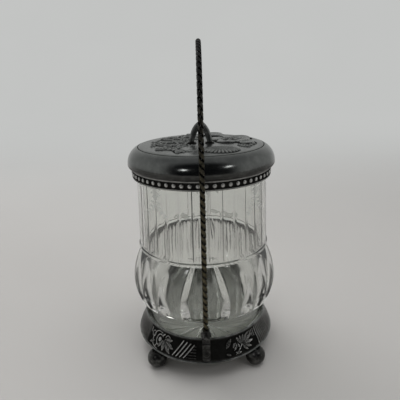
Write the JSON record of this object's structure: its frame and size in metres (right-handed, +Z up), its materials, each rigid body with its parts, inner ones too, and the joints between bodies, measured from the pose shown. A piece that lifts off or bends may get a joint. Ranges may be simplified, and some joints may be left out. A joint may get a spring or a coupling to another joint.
{
  "type": "biscuit jar",
  "caption": "Glass biscuit jar with arched flutes and a lift-off metal lid, in a ring frame on ball feet with a twisted wire bail.",
  "frame": {"origin": "on the ground under the jar's axis, at the level the feet stand on", "axes": "+Z up along the jar's axis; the bail lies in the YZ plane, with its front leg at -Y; +X to the right seen from the front"},
  "size_m": [0.1364, 0.1554, 0.2942],
  "materials": {
    "frame_plate": "tarnished silver plate, dark in the hollows, semi-gloss",
    "feet": "tarnished silver plate, semi-gloss",
    "sockets": "cast and silver plated, tarnished",
    "floor_plate": "plated sheet, little tarnished, satin",
    "bail_wire": "twisted wire, plating worn and browned",
    "glass": "clear moulded glass with frosted sprigs",
    "lid_plate": "tarnished silver plate, glossy on the rounded rim",
    "bead_band": "silver plate, black between the beads and bright on them",
    "finial": "cast and silver plated, worn to grey"
  },
  "bodies": {
    "frame": {"base_ring": "frame_plate", "rim_wire": "frame_plate", "base_wire": "frame_plate", "floor_plate": "floor_plate", "foot_front_left": "feet", "foot_front_right": "feet", "foot_rear_left": "feet", "foot_rear_right": "feet", "socket_front": "sockets", "socket_rear": "sockets", "rivet_front": "sockets", "rivet_rear": "sockets", "bail_wire_a": "bail_wire", "bail_wire_b": "bail_wire"},
    "jar": {"glass_jar": "glass"},
    "lid": {"lid_shell": "lid_plate", "lid_collar": "lid_plate", "bead_band": "bead_band", "finial_loop": "finial", "finial_rosettes": "finial", "finial_nuts": "finial"}
  },
  "joints": [
    {"name": "jar_lift", "type": "slide", "parent": "frame", "child": "jar", "axis": [0, 0, 1], "range_m": [0, 0.025]},
    {"name": "lid_lift", "type": "slide", "parent": "jar", "child": "lid", "axis": [0, 0, 1], "range_m": [0, 0.022]}
  ]
}
